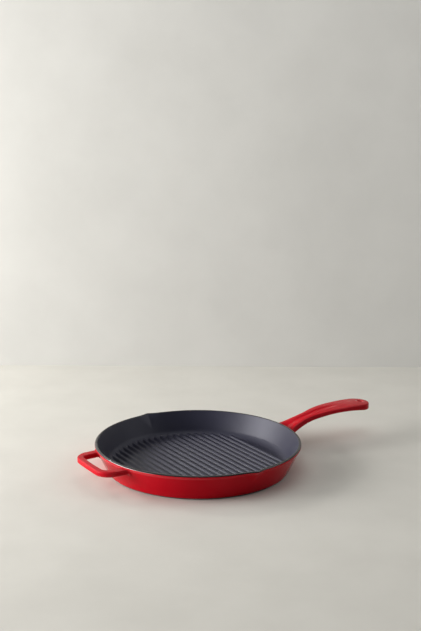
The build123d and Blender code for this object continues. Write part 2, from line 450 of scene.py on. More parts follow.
class EffectShelf:
    """Makes each shared effect once and places it in materials."""

    def __init__(self) -> None:
        """Make all shared effects."""
        self.groups = {
            Effect.MOTTLED_TONE: self.mottled_tone(),
            Effect.SURFACE_RIPPLE: self.surface_ripple(),
            Effect.FINE_GRAIN: self.fine_grain(),
        }

    def place(self, tree: Tree, effect: Effect, values: dict[str, object]) -> bpy.types.Node:
        """Place an effect in a material's tree with its own values."""
        return tree.add("ShaderNodeGroup", values, node_tree=self.groups[effect])

    def start(
        self, effect: Effect, inputs: dict[str, str], outputs: dict[str, str]
    ) -> tuple[bpy.types.NodeTree, Tree, bpy.types.Node, bpy.types.Node]:
        """Start a node group.

        Args:
            effect: The effect that it makes.
            inputs: Socket type of each input, by name.
            outputs: Socket type of each output, by name.

        Returns:
            The group, its tree, and its input and output nodes.
        """
        group = bpy.data.node_groups.new(effect.value, "ShaderNodeTree")
        for name, kind in inputs.items():
            group.interface.new_socket(name=name, in_out="INPUT", socket_type=kind)
        for name, kind in outputs.items():
            group.interface.new_socket(name=name, in_out="OUTPUT", socket_type=kind)
        tree = Tree(group)
        return group, tree, tree.add("NodeGroupInput"), tree.add("NodeGroupOutput")

    def noise(
        self, tree: Tree, scale: bpy.types.NodeSocket, detail: float
    ) -> bpy.types.NodeSocket:
        """Add a noise over the object's own space.

        Args:
            tree: The group's tree.
            scale: Where the noise takes its scale from.
            detail: How many finer layers it has.

        Returns:
            The noise's value.
        """
        place = tree.add("ShaderNodeTexCoord")
        noise = tree.add("ShaderNodeTexNoise", {"Detail": detail, "Roughness": NOISE_ROUGHNESS})
        tree.join(place.outputs["Object"], noise.inputs["Vector"])
        tree.join(scale, noise.inputs["Scale"])
        return noise.outputs["Fac"]

    def mottled_tone(self) -> bpy.types.NodeTree:
        """Make the colour of a coat: cloudy, and another tone on convex edges, for a thin coat
        there and, on the red coat, a painted highlight.

        Returns:
            The node group.
        """
        colour, number = "NodeSocketColor", "NodeSocketFloat"
        group, tree, given, result = self.start(
            Effect.MOTTLED_TONE,
            {
                "Face Colour": colour,
                "Cloud Colour": colour,
                "Thin Coat And Highlight Colour": colour,
                "Cloud Scale": number,
                "Cloud Share": number,
                "Thin Coat And Highlight Share": number,
            },
            {"Colour": colour},
        )
        noise = self.noise(tree, given.outputs["Cloud Scale"], CLOUD_DETAIL)
        cloud = tree.spread(noise, CLOUD_SPAN)
        share = tree.math("MULTIPLY", cloud, given.outputs["Cloud Share"])
        body = tree.mix(share, given.outputs["Face Colour"], given.outputs["Cloud Colour"])
        # Edge tone on convex edges: a thin coat on the black coats, a painted highlight on the red
        # coat
        edge = tree.add("ShaderNodeAttribute", attribute_name=EDGE_MASK)
        thin_coat_and_highlight = tree.math("MULTIPLY", edge.outputs["Fac"], given.outputs["Thin Coat And Highlight Share"])
        tree.join(tree.mix(thin_coat_and_highlight, body, given.outputs["Thin Coat And Highlight Colour"]), result.inputs["Colour"])
        return group

    def surface_ripple(self) -> bpy.types.NodeTree:
        """Make the long waves and the orange peel of a fired coat.

        Returns:
            The node group.
        """
        number = "NodeSocketFloat"
        group, tree, given, result = self.start(
            Effect.SURFACE_RIPPLE,
            {"Wave Scale": number, "Peel Scale": number, "Peel Share": number},
            {"Height": number},
        )
        wave = self.noise(tree, given.outputs["Wave Scale"], WAVE_DETAIL)
        peel = self.noise(tree, given.outputs["Peel Scale"], PEEL_DETAIL)
        height = tree.math("MULTIPLY_ADD", peel, given.outputs["Peel Share"], wave)
        tree.join(height, result.inputs["Height"])
        return group

    def fine_grain(self) -> bpy.types.NodeTree:
        """Make the fine tooth of a matt coat, with a few small pits.

        Returns:
            The node group.
        """
        number = "NodeSocketFloat"
        group, tree, given, result = self.start(
            Effect.FINE_GRAIN,
            {"Grain Scale": number, "Pit Scale": number, "Pit Share": number},
            {"Height": number, "Mask": number},
        )
        grain = self.noise(tree, given.outputs["Grain Scale"], GRAIN_DETAIL)
        place = tree.add("ShaderNodeTexCoord")
        cells = tree.add("ShaderNodeTexVoronoi")
        tree.join(place.outputs["Object"], cells.inputs["Vector"])
        tree.join(given.outputs["Pit Scale"], cells.inputs["Scale"])
        pit = tree.spread(cells.outputs["Distance"], PIT_SPAN, (1.0, 0.0))
        sunk = tree.math("MULTIPLY", pit, given.outputs["Pit Share"])
        tree.join(tree.math("SUBTRACT", grain, sunk), result.inputs["Height"])
        tree.join(grain, result.inputs["Mask"])
        return group


@dataclass(frozen=True)
class EnamelFinish:
    """One fired enamel coat: its colours, gloss and relief."""

    name: str
    face: Colour
    cloud: Colour
    # Tone on convex edges: where a black coat runs thin, and on the red coat a painted highlight
    thin_coat_and_highlight: Colour
    cloud_share: float
    thin_coat_and_highlight_share: float
    gloss_roughness: float
    dull_roughness: float
    ripple_depth: float
    grain_depth: float
    cloud_scale: float = 28.0
    wave_scale: float = 45.0
    peel_scale: float = 260.0
    peel_share: float = 0.18
    grain_scale: float = 1500.0
    pit_scale: float = 420.0
    pit_share: float = 0.3
    specular: float = 0.5
    specular_tint: Colour = (1.0, 1.0, 1.0, 1.0)
    refraction: float = 1.5

    def material(self, shelf: EffectShelf) -> bpy.types.Material:
        """Make the material.

        Args:
            shelf: The shared effects.

        Returns:
            The new material.
        """
        material, tree, shader = start_material(
            self.name,
            {
                "IOR": self.refraction,
                "Specular IOR Level": self.specular,
                "Specular Tint": self.specular_tint,
            },
        )
        tone = shelf.place(
            tree,
            Effect.MOTTLED_TONE,
            {
                "Face Colour": self.face,
                "Cloud Colour": self.cloud,
                "Thin Coat And Highlight Colour": self.thin_coat_and_highlight,
                "Cloud Scale": self.cloud_scale,
                "Cloud Share": self.cloud_share,
                "Thin Coat And Highlight Share": self.thin_coat_and_highlight_share,
            },
        )
        tree.join(tone.outputs["Colour"], shader.inputs["Base Color"])
        grain = shelf.place(
            tree,
            Effect.FINE_GRAIN,
            {
                "Grain Scale": self.grain_scale,
                "Pit Scale": self.pit_scale,
                "Pit Share": self.pit_share,
            },
        )
        roughness = (self.gloss_roughness, self.dull_roughness)
        gloss = tree.spread(grain.outputs["Mask"], GLOSS_SPAN, roughness)
        tree.join(gloss, shader.inputs["Roughness"])
        ripple = shelf.place(
            tree,
            Effect.SURFACE_RIPPLE,
            {
                "Wave Scale": self.wave_scale,
                "Peel Scale": self.peel_scale,
                "Peel Share": self.peel_share,
            },
        )
        waves = tree.add("ShaderNodeBump", {"Distance": self.ripple_depth, "Strength": 1.0})
        tooth = tree.add("ShaderNodeBump", {"Distance": self.grain_depth, "Strength": 1.0})
        tree.join(ripple.outputs["Height"], waves.inputs["Height"])
        tree.join(grain.outputs["Height"], tooth.inputs["Height"])
        tree.join(waves.outputs["Normal"], tooth.inputs["Normal"])
        tree.join(tooth.outputs["Normal"], shader.inputs["Normal"])
        return material


RED_ENAMEL = EnamelFinish(
    name="red_enamel",
    face=(0.44, 0.0008, 0.0090, 1.0),
    cloud=(0.39, 0.0006, 0.0075, 1.0),
    # The lighter pink on convex edges is a painted highlight, standing in for the gleams along the
    # rim shoulder and the handles' edges
    thin_coat_and_highlight=(0.62, 0.075, 0.085, 1.0),
    cloud_share=0.5,
    thin_coat_and_highlight_share=0.6,
    gloss_roughness=0.08,
    dull_roughness=0.14,
    ripple_depth=0.00010,
    grain_depth=0.000001,
    specular=0.08,
)
CHARCOAL_ENAMEL = EnamelFinish(
    name="charcoal_enamel",
    face=(0.024, 0.024, 0.041, 1.0),
    cloud=(0.020, 0.020, 0.035, 1.0),
    thin_coat_and_highlight=(0.034, 0.034, 0.052, 1.0),
    cloud_share=0.6,
    thin_coat_and_highlight_share=0.5,
    gloss_roughness=0.40,
    dull_roughness=0.52,
    ripple_depth=0.00012,
    grain_depth=0.000012,
    specular=0.36,
    specular_tint=(0.92, 0.92, 1.0, 1.0),
)
RIM_ENAMEL = EnamelFinish(
    name="rim_black_enamel",
    face=(0.008, 0.008, 0.010, 1.0),
    cloud=(0.013, 0.012, 0.014, 1.0),
    thin_coat_and_highlight=(0.020, 0.017, 0.017, 1.0),
    cloud_share=0.6,
    thin_coat_and_highlight_share=0.5,
    gloss_roughness=0.14,
    dull_roughness=0.24,
    ripple_depth=0.00008,
    grain_depth=0.000003,
    specular=0.5,
)
BASE_ENAMEL = EnamelFinish(
    name="base_black_enamel",
    face=(0.016, 0.016, 0.018, 1.0),
    cloud=(0.024, 0.023, 0.024, 1.0),
    thin_coat_and_highlight=(0.05, 0.045, 0.043, 1.0),
    cloud_share=0.7,
    thin_coat_and_highlight_share=0.5,
    gloss_roughness=0.42,
    dull_roughness=0.60,
    ripple_depth=0.00010,
    grain_depth=0.000014,
)


@dataclass(frozen=True)
class StageFinish:
    """Plain pale finish of the floor or the wall behind it."""

    name: str
    face: Colour
    cloud: Colour
    cloud_scale: float
    roughness: float = 0.8

    def material(self, shelf: EffectShelf) -> bpy.types.Material:
        """Make the material.

        Args:
            shelf: The shared effects.

        Returns:
            The new material.
        """
        material, tree, shader = start_material(self.name, {"Roughness": self.roughness})
        tone = shelf.place(
            tree,
            Effect.MOTTLED_TONE,
            {
                "Face Colour": self.face,
                "Cloud Colour": self.cloud,
                "Thin Coat And Highlight Colour": self.face,
                "Cloud Scale": self.cloud_scale,
                "Cloud Share": 1.0,
                "Thin Coat And Highlight Share": 0.0,
            },
        )
        tree.join(tone.outputs["Colour"], shader.inputs["Base Color"])
        return material


@dataclass(frozen=True)
class Corner:
    """A corner of the pan's half section.

    The inset says how far inside the rim band's face the surface lies at the
    pouring lips, where it follows the band's outline.
    """

    radius: float
    height: float
    inset: float
    rounding: float = 0.0


class SectionCorner(Enum):
    """Names of the corners of the pan's half section."""

    UNDERSIDE_CENTRE = "underside_centre"
    BASE = "base"
    BAND_FOOT = "band_foot"
    BAND_EDGE = "band_edge"
    RIM_OUTSIDE = "rim_outside"
    RIM_INSIDE = "rim_inside"
    COVE = "cove"
    FLOOR_CENTRE = "floor_centre"


@dataclass
class Profile:
    """Rows of a half section, with the rows where each corner's arc starts and ends."""

    rows: np.ndarray
    starts: dict[SectionCorner, int]
    ends: dict[SectionCorner, int]


def corner_arc(
    before: np.ndarray, corner: np.ndarray, after: np.ndarray, rounding: float, steps: int
) -> list[np.ndarray]:
    """Lay rows round one corner of a half section.

    Args:
        before: Radius, height and inset of the corner before.
        corner: The same of the corner itself.
        after: The same of the corner after.
        rounding: Radius of the arc.
        steps: Steps round it.

    Returns:
        The rows of the arc.
    """
    back, ahead = before - corner, after - corner
    back_way = back / np.linalg.norm(back[:2])
    ahead_way = ahead / np.linalg.norm(ahead[:2])
    half = math.acos(float(back_way[:2] @ ahead_way[:2])) / 2
    reach = rounding / math.tan(half)
    first, last = corner + back_way * reach, corner + ahead_way * reach
    middle = (back_way + ahead_way)[:2]
    centre = corner[:2] + middle / np.linalg.norm(middle) * (rounding / math.sin(half))
    arm = first[:2] - centre
    left_turn = back_way[1] * ahead_way[0] - back_way[0] * ahead_way[1]
    swing = math.copysign(math.pi - 2 * half, left_turn)
    arc = []
    for share in np.arange(steps + 1) / steps:
        cosine, sine = math.cos(swing * share), math.sin(swing * share)
        radius = centre[0] + arm[0] * cosine - arm[1] * sine
        height = centre[1] + arm[0] * sine + arm[1] * cosine
        arc.append(np.array([radius, height, first[2] + (last[2] - first[2]) * share]))
    return arc


def rounded_profile(
    corners: dict[SectionCorner, Corner], run_step: float, arc_steps: int
) -> Profile:
    """Lay rows along a half section with rounded corners.

    Args:
        corners: The section's corners by name, in order along it.
        run_step: Longest step along a straight run.
        arc_steps: Steps round each corner.

    Returns:
        The profile, with rows of radius, height and inset.
    """
    rows, starts, ends = [], {}, {}
    path = [np.array([spot.radius, spot.height, spot.inset]) for spot in corners.values()]
    for place, (name, corner) in enumerate(corners.items()):
        arc = [path[place]]
        if corner.rounding > 0:
            arc = corner_arc(*path[place - 1 : place + 2], corner.rounding, arc_steps)
        if rows:
            before = rows[-1]
            run = float(np.linalg.norm((arc[0] - before)[:2]))
            pieces = max(1, math.ceil(run / run_step))
            rows.extend(before + (arc[0] - before) * n / pieces for n in range(1, pieces))
        starts[name] = len(rows)
        rows.extend(arc)
        ends[name] = len(rows) - 1
    return Profile(np.array(rows), starts, ends)


@dataclass
class PanForm:
    """Shape of the pan's body, shared by the pieces that meet on it."""

    rim_radius: float
    height: float
    lip_reach: float
    base_radius: float = 0.1325
    base_corner: float = 0.005
    base_coat_height: float = 0.0022
    wall_thickness: float = 0.0043
    floor_thickness: float = 0.0045
    cove_radius: float = 0.014
    cove_top: float = 0.0092
    band_height: float = 0.0045
    band_proud: float = 0.0008
    band_foot_round: float = 0.0007
    band_edge_round: float = 0.0005
    rim_outer_round: float = 0.0022
    rim_inner_round: float = 0.0010
    lip_depth: float = 0.019
    lip_tip_radius: float = 0.0088
    lip_flank: float = math.radians(22)
    lip_blend: float = 0.003
    lip_half_angle: float = math.radians(15)
    columns: int = 576
    lip_crowding: float = 0.3
    run_step: float = 0.0016
    arc_steps: int = 12

    def __post_init__(self) -> None:
        """Work out the wall's slope and lay out the half section."""
        top = self.height - self.band_height
        self.wall_run = (self.rim_radius - self.band_proud - self.base_radius) / top
        self.wall_slant = math.hypot(1, self.wall_run)
        across = self.wall_thickness * self.wall_slant
        floor_radius = self.wall_radius(self.floor_thickness) - across
        rim_inside = self.wall_radius(self.height) - across
        outside, inside = self.band_proud, self.band_proud + self.wall_thickness
        spot = SectionCorner
        corners = {
            spot.UNDERSIDE_CENTRE: Corner(0.0, 0.0, outside),
            spot.BASE: Corner(self.base_radius, 0.0, outside, self.base_corner),
            spot.BAND_FOOT: Corner(self.wall_radius(top), top, outside, self.band_foot_round),
            spot.BAND_EDGE: Corner(self.rim_radius, top + outside, 0.0, self.band_edge_round),
            spot.RIM_OUTSIDE: Corner(self.rim_radius, self.height, 0.0, self.rim_outer_round),
            spot.RIM_INSIDE: Corner(rim_inside, self.height, inside, self.rim_inner_round),
            spot.COVE: Corner(floor_radius, self.floor_thickness, inside, self.cove_radius),
            spot.FLOOR_CENTRE: Corner(0.0, self.floor_thickness, inside),
        }
        self.profile = rounded_profile(corners, self.run_step, self.arc_steps)
        self.cove_radius_start = floor_radius - self.cove_radius / math.tan(
            (math.pi / 2 + math.atan(self.wall_run)) / 2
        )

    def wall_radius(self, height: np.ndarray | float) -> np.ndarray | float:
        """Give the wall's outer radius at a height, without band or lips."""
        return self.base_radius + self.wall_run * height

    def bearings(self) -> np.ndarray:
        """Give the directions of the columns round the pan, closer at the lips."""
        even = np.arange(self.columns) * 2 * math.pi / self.columns
        return even + self.lip_crowding * np.sin(2 * even)

    def lip_radius(self, off_lip: np.ndarray, drop: float, tip_radius: float) -> np.ndarray:
        """Give the radius of a pouring lip's outline.

        Args:
            off_lip: Directions, counted from the lip's own.
            drop: How far below the rim's top.
            tip_radius: Radius of the lip's rounded tip.

        Returns:
            The outline's radius, or nothing away from the lip.
        """
        lean = self.lip_reach / self.lip_depth + self.wall_run
        centre = self.rim_radius + self.lip_reach - self.lip_tip_radius - lean * drop
        slope = math.tan(self.lip_flank)
        side, ahead = np.abs(np.sin(off_lip)), np.cos(off_lip)
        flank = (centre + tip_radius / math.cos(self.lip_flank)) / (ahead + side * slope)
        in_arc = np.maximum(tip_radius**2 - (centre * side) ** 2, 0.0)
        arc = centre * ahead + np.sqrt(in_arc)
        on_tip = flank * side < tip_radius * math.sin(self.lip_flank)
        outline = np.where(on_tip, arc, flank)
        return np.where(np.abs(off_lip) < self.lip_half_angle, outline, 0.0)

    def ring(self, radius: float, height: float, inset: float) -> np.ndarray:
        """Lay one row of points round the pan, bulging at the two lips.

        Args:
            radius: The row's radius away from the lips.
            height: The row's height.
            inset: How far inside the rim band's face it lies at the lips.

        Returns:
            The points.
        """
        bearings = self.bearings()
        drop = self.height - height
        reach = np.full_like(bearings, radius)
        for lip in LIP_BEARINGS:
            off_lip = (bearings - lip + math.pi) % (2 * math.pi) - math.pi
            outline = self.lip_radius(off_lip, drop, self.lip_tip_radius - inset)
            reach = smooth_max(reach, outline, self.lip_blend)
        level = np.full_like(reach, height)
        return np.stack([reach * np.cos(bearings), reach * np.sin(bearings), level], axis=-1)

    def rings(self, rows: np.ndarray) -> np.ndarray:
        """Lay the rows of a half section round the pan."""
        return np.array([self.ring(*row) for row in rows])

    def middle_rings(self, rows: np.ndarray) -> np.ndarray:
        """Lay rows at the same heights in the middle of the wall's thickness.

        Args:
            rows: The rows of the half section that give the heights.

        Returns:
            The points, row by row.
        """
        across = self.wall_thickness * self.wall_slant / 2
        inset = self.band_proud + self.wall_thickness / 2
        return np.array(
            [self.ring(self.wall_radius(row[1]) - across, row[1], inset) for row in rows]
        )

    def gap_outside(self, points: np.ndarray) -> np.ndarray:
        """Give how far points lie outside the wall and its band, square to them.

        Args:
            points: The points, in rows of three coordinates.

        Returns:
            The gap at each point, below zero inside the wall.
        """
        reach = np.hypot(points[:, 0], points[:, 1])
        up_band = (points[:, 2] - self.height + self.band_height) / self.band_proud
        proud = self.band_proud * np.clip(up_band, 0.0, 1.0)
        return (reach - self.wall_radius(points[:, 2]) - proud) / self.wall_slant


@dataclass
class Finisher:
    """Gives pieces their finish and their place in the frame."""

    shelf: EffectShelf
    made: dict[str, bpy.types.Material] = field(default_factory=dict)

    def dress(
        self, piece: bpy.types.Object, finish: EnamelFinish, nodes: tuple[str, ...]
    ) -> None:
        """Dress a piece and let it stand for its CAD nodes.

        Args:
            piece: The piece.
            finish: Its enamel.
            nodes: The CAD nodes that it stands for.
        """
        if finish.name not in self.made:
            self.made[finish.name] = finish.material(self.shelf)
        piece.data.materials.append(self.made[finish.name])
        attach(piece, ROOT_BODY)
        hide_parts(*nodes)


@dataclass
class PanShell:
    """Outside of the pan: base, red wall with its band, and the bare rim.

    The wall's hidden inner face takes only some of the outer face's rows.
    """

    form: PanForm
    red_share_of_rounding: float = 0.16
    hidden_row_step: int = 3
    sharp_angle: float = 50.0

    def foot_row(self) -> int:
        """Give the row of the base corner where the base coat ends.

        Returns:
            The row's number.
        """
        profile, corner = self.form.profile, SectionCorner.BASE
        rows = range(profile.starts[corner], profile.ends[corner] + 1)
        return min(rows, key=lambda n: abs(profile.rows[n][1] - self.form.base_coat_height))

    def rim_row(self) -> int:
        """Give the row on the rim's outer rounding where the red coat ends.

        Returns:
            The row's number.
        """
        profile, corner = self.form.profile, SectionCorner.RIM_OUTSIDE
        first, last = profile.starts[corner], profile.ends[corner]
        return first + round((last - first) * self.red_share_of_rounding)

    def build_base(self) -> bpy.types.Object:
        """Build the flat underside with its rounded corner.

        Returns:
            The piece, not dressed yet.
        """
        rows = self.form.profile.rows[: self.foot_row() + 1]
        draft = MeshDraft()
        grid = draft.add(self.form.rings(rows[1:]))
        inner = draft.add(self.form.rings(rows[1:2]) + (0, 0, rows[-1][1]))
        poles = draft.add(np.array([[0, 0, 0], [0, 0, rows[-1][1]]]))
        draft.skin(np.vstack([grid, inner]), columns_close=True)
        draft.fan(int(poles[0]), grid[0])
        draft.fan(int(poles[1]), inner[0][::-1])
        return draft.build("base", self.sharp_angle)

    def build_wall(self) -> bpy.types.Object:
        """Build the flared wall with the rim band and the outside of both lips.

        Returns:
            The piece, not dressed yet.
        """
        rows = self.form.profile.rows[self.foot_row() : self.rim_row() + 1]
        draft = MeshDraft()
        outer = draft.add(self.form.rings(rows))
        inner = draft.add(self.form.middle_rings(rows[:: -self.hidden_row_step]))
        draft.skin(np.vstack([outer, inner]), rows_close=True, columns_close=True)
        return draft.build("outer_wall", self.sharp_angle)

    def build_rim(self) -> bpy.types.Object:
        """Build the rounded top of the rim.

        Returns:
            The piece, not dressed yet.
        """
        profile = self.form.profile
        rows = profile.rows[self.rim_row() : profile.ends[SectionCorner.RIM_INSIDE] + 1]
        draft = MeshDraft()
        grid = draft.add(self.form.rings(rows))
        draft.skin(grid, rows_close=True, columns_close=True)
        return draft.build("rim", self.sharp_angle)

    def build(self, finisher: Finisher) -> None:
        """Build and dress all pieces of the outside.

        Args:
            finisher: Dresses what is built.
        """
        base = self.build_base()
        finisher.dress(base, BASE_ENAMEL, ("base_enamel",))
        wall = self.build_wall()
        nodes = ("exterior_enamel", "iron_wall")
        finisher.dress(wall, RED_ENAMEL, nodes)
        rim = self.build_rim()
        finisher.dress(rim, RIM_ENAMEL, ("rim_enamel",))


@dataclass
class CookingSurface:
    """Inside of the pan: ribbed floor, cove, and wall up to the rim.

    The ribbed floor's mesh has its columns at shares of half a rib's pitch, to
    both sides of each crest, and its rows at depths in from each column's ends.
    """

    form: PanForm
    rib_count: int = 21
    rib_pitch: float = 0.01065
    rib_height: float = 0.0029
    rib_foot_width: float = 0.0064
    rib_crest_width: float = 0.0046
    rib_crest_rise: float = 0.0013
    rib_foot_blend: float = 0.0011
    end_columns: int = 16
    end_turn: float = math.radians(29)
    seam_room: float = 0.0004
    column_shares: tuple[float, ...] = (0.0, 0.15, 0.28, 0.39, 0.47, 0.54, 0.62, 0.72, 0.84)
    row_depths: tuple[float, ...] = (
        0.0, 0.0007, 0.0014, 0.0021, 0.0029, 0.0038, 0.0049,
        0.0063, 0.008, 0.0105, 0.015, 0.025, 0.042,
    )
    sharp_angle: float = 50.0

    def rib_top(self, across: np.ndarray) -> np.ndarray:
        """Give the height of the nearest rib's surface, sinking on between the ribs.

        Args:
            across: Places across the ribs.

        Returns:
            The heights.
        """
        last = (self.rib_count - 1) / 2
        number = np.clip(np.round(across / self.rib_pitch), -last, last)
        off = np.abs(across - number * self.rib_pitch)
        half_crest = self.rib_crest_width / 2
        radius = (half_crest**2 + self.rib_crest_rise**2) / (2 * self.rib_crest_rise)
        crest = self.form.floor_thickness + self.rib_height
        dome = crest - radius + np.sqrt(np.maximum(radius**2 - off**2, 0.0))
        shoulder = crest - self.rib_crest_rise
        fall = (self.rib_height - self.rib_crest_rise) / (self.rib_foot_width / 2 - half_crest)
        return np.where(off < half_crest, dome, shoulder - (off - half_crest) * fall)

    def bare_floor(self, reach: np.ndarray) -> np.ndarray:
        """Give the floor's height at a distance from the axis, with the cove.

        Args:
            reach: Distances from the pan's axis.

        Returns:
            The heights.
        """
        into = np.clip(reach - self.form.cove_radius_start, 0.0, None)
        room = np.maximum(self.form.cove_radius**2 - into**2, 0.0)
        return self.form.floor_thickness + self.form.cove_radius - np.sqrt(room)

    def surface(self, plan: np.ndarray) -> np.ndarray:
        """Lift plan points onto the ribbed floor.

        Args:
            plan: The plan points.

        Returns:
            The same points with their heights.
        """
        floor = self.bare_floor(np.hypot(plan[..., 0], plan[..., 1]))
        height = smooth_max(self.rib_top(plan[..., 0]), floor, self.rib_foot_blend)
        return np.concatenate([plan, height[..., None]], axis=-1)

    def edge_radius(self) -> float:
        """Give the radius at which the ribbed floor's mesh ends, up in the cove."""
        lift = self.form.floor_thickness + self.form.cove_radius - self.form.cove_top
        return self.form.cove_radius_start + math.sqrt(self.form.cove_radius**2 - lift**2)

    def columns(self) -> np.ndarray:
        """Give the places across the ribs where the mesh has its columns.

        Returns:
            The places, in order.
        """
        half = self.rib_pitch / 2
        one_side = [half * share for share in self.column_shares]
        offsets = sorted({*one_side, *(-offset for offset in one_side), half})
        last = (self.rib_count - 1) // 2
        across = [n * self.rib_pitch + off for n in range(-last, last + 1) for off in offsets]
        return np.array([-last * self.rib_pitch - half] + across)

    def rows(self, edge: float) -> np.ndarray:
        """Give the shares of each column's half length where it has its rows."""
        shares = 1 - np.array(self.row_depths) / edge
        return np.concatenate([-shares, [0.0], shares[::-1]])

    def plan(self) -> np.ndarray:
        """Lay out the ribbed floor's points in plan, columns by rows.

        Returns:
            The plan points.
        """
        edge = self.edge_radius()
        across = self.columns()
        shares = self.rows(edge)
        half_lengths = np.sqrt(edge**2 - across**2)
        ends = 1 - (1 - np.abs(shares)) * edge / half_lengths[:, None]
        along = np.sign(shares) * ends * half_lengths[:, None]
        middle = np.stack([np.repeat(across[:, None], len(shares), axis=1), along], axis=-1)
        swing = math.asin(half_lengths[-1] / edge)
        turn = np.sign(shares) * ends[-1] * min(swing, self.end_turn)
        arc = np.stack([edge * np.cos(turn), edge * np.sin(turn)], axis=-1)
        parts = np.linspace(0, 1, self.end_columns + 1)[1:, None, None]
        right = (1 - parts) * middle[-1] + parts * arc
        left = right[::-1] * (-1, 1)
        return np.concatenate([left, middle, right])

    def build(self, finisher: Finisher) -> None:
        """Build and dress the cooking surface.

        Args:
            finisher: Dresses what is built.
        """
        form, profile = self.form, self.form.profile
        first = profile.ends[SectionCorner.RIM_INSIDE]
        seam = form.cove_top + self.seam_room
        rows = profile.rows[first : profile.ends[SectionCorner.COVE]]
        rows = rows[: np.argmax(rows[:, 1] < seam)]
        draft = MeshDraft()
        plan = self.plan()
        floor = draft.add(self.surface(plan))
        under_level = np.full(plan.shape[:-1] + (1,), form.floor_thickness / 2)
        under = draft.add(np.concatenate([plan, under_level], axis=-1))
        wall = draft.add(form.rings(rows))
        behind = draft.add(form.middle_rings(rows))
        draft.skin(floor.T)
        draft.skin(under)
        draft.skin(np.vstack([behind[::-1], wall]), columns_close=True)
        points = draft.all_points()
        for patch, ring in ((floor, wall[-1]), (under, behind[-1])):
            border = [patch[0, :-1], patch[:-1, -1], patch[-1, :0:-1], patch[:0:-1, 0]]
            draft.zip_rings(np.concatenate(border), ring, points)
        piece = draft.build("cooking_surface", self.sharp_angle)
        nodes = ("interior_enamel", "iron_ribs", "iron_floor")
        finisher.dress(piece, CHARCOAL_ENAMEL, nodes)


@dataclass
class Plank:
    """A handle cast as a plank: a plan with a top, a bottom and closed sides."""

    plan: list[np.ndarray] = field(default_factory=list)
    faces: list[tuple[int, ...]] = field(default_factory=list)
    count: int = 0

    def add_grid(self, plan: np.ndarray, rows_close: bool = False) -> None:
        """Add a grid of plan points, covered with faces.

        Args:
            plan: The plan points, in rows and columns.
            rows_close: Whether the last row joins the first.
        """
        draft = MeshDraft(count=self.count)
        flat = np.concatenate([plan, np.zeros(plan.shape[:-1] + (1,))], axis=-1)
        draft.skin(draft.add(flat), rows_close=rows_close)
        self.plan.append(plan.reshape(-1, 2))
        self.faces.extend(draft.faces)
        self.count = draft.count

    def welded(self) -> tuple[np.ndarray, list[tuple[int, ...]]]:
        """Merge plan points that coincide and turn every face upwards.

        Returns:
            The plan points and the faces.
        """
        points = np.vstack(self.plan)
        _, kept, numbers = np.unique(
            weld_keys(points), axis=0, return_index=True, return_inverse=True
        )
        numbers = numbers.reshape(-1)
        points = points[kept]
        faces = []
        for face in self.faces:
            corners = list(dict.fromkeys(numbers[list(face)].tolist()))
            x, y = points[corners].T
            area = float(x @ np.roll(y, -1) - y @ np.roll(x, -1))
            faces.append(tuple(corners if area > 0 else corners[::-1]))
        return points, faces

    def draft(self, top: PointFunction, bottom: PointFunction, side_steps: int) -> MeshDraft:
        """Raise the plan to a closed body.

        Args:
            top: Gives the top's height from the plan points.
            bottom: Gives the bottom's height from the plan points.
            side_steps: Steps down each side.

        Returns:
            The body's mesh draft.
        """
        points, faces = self.welded()
        x, y = points.T
        high, low = top(x, y), bottom(x, y)
        draft = MeshDraft()
        upper = draft.add(np.stack([x, y, high], axis=-1))
        lower = draft.add(np.stack([x, y, low], axis=-1))
        draft.faces.extend(tuple(upper[list(face)].tolist()) for face in faces)
        draft.faces.extend(tuple(lower[list(face)].tolist()[::-1]) for face in faces)
        ways = {(a, b) for face in faces for a, b in zip(face, face[1:] + face[:1])}
        border = [(a, b) for a, b in ways if (b, a) not in ways]
        shares = np.linspace(0, 1, side_steps + 1)[1:-1, None]
        levels = {}
        for corner in sorted({corner for way in border for corner in way}):
            start = np.array([x[corner], y[corner], high[corner]])
            fall = np.array([0, 0, low[corner] - high[corner]])
            between = draft.add(start + fall * shares)
            levels[corner] = [int(upper[corner]), *between.tolist(), int(lower[corner])]
        for a, b in border:
            here, there = levels[a], levels[b]
            for step in range(side_steps):
                draft.faces.append((here[step], here[step + 1], there[step + 1], there[step]))
        return draft


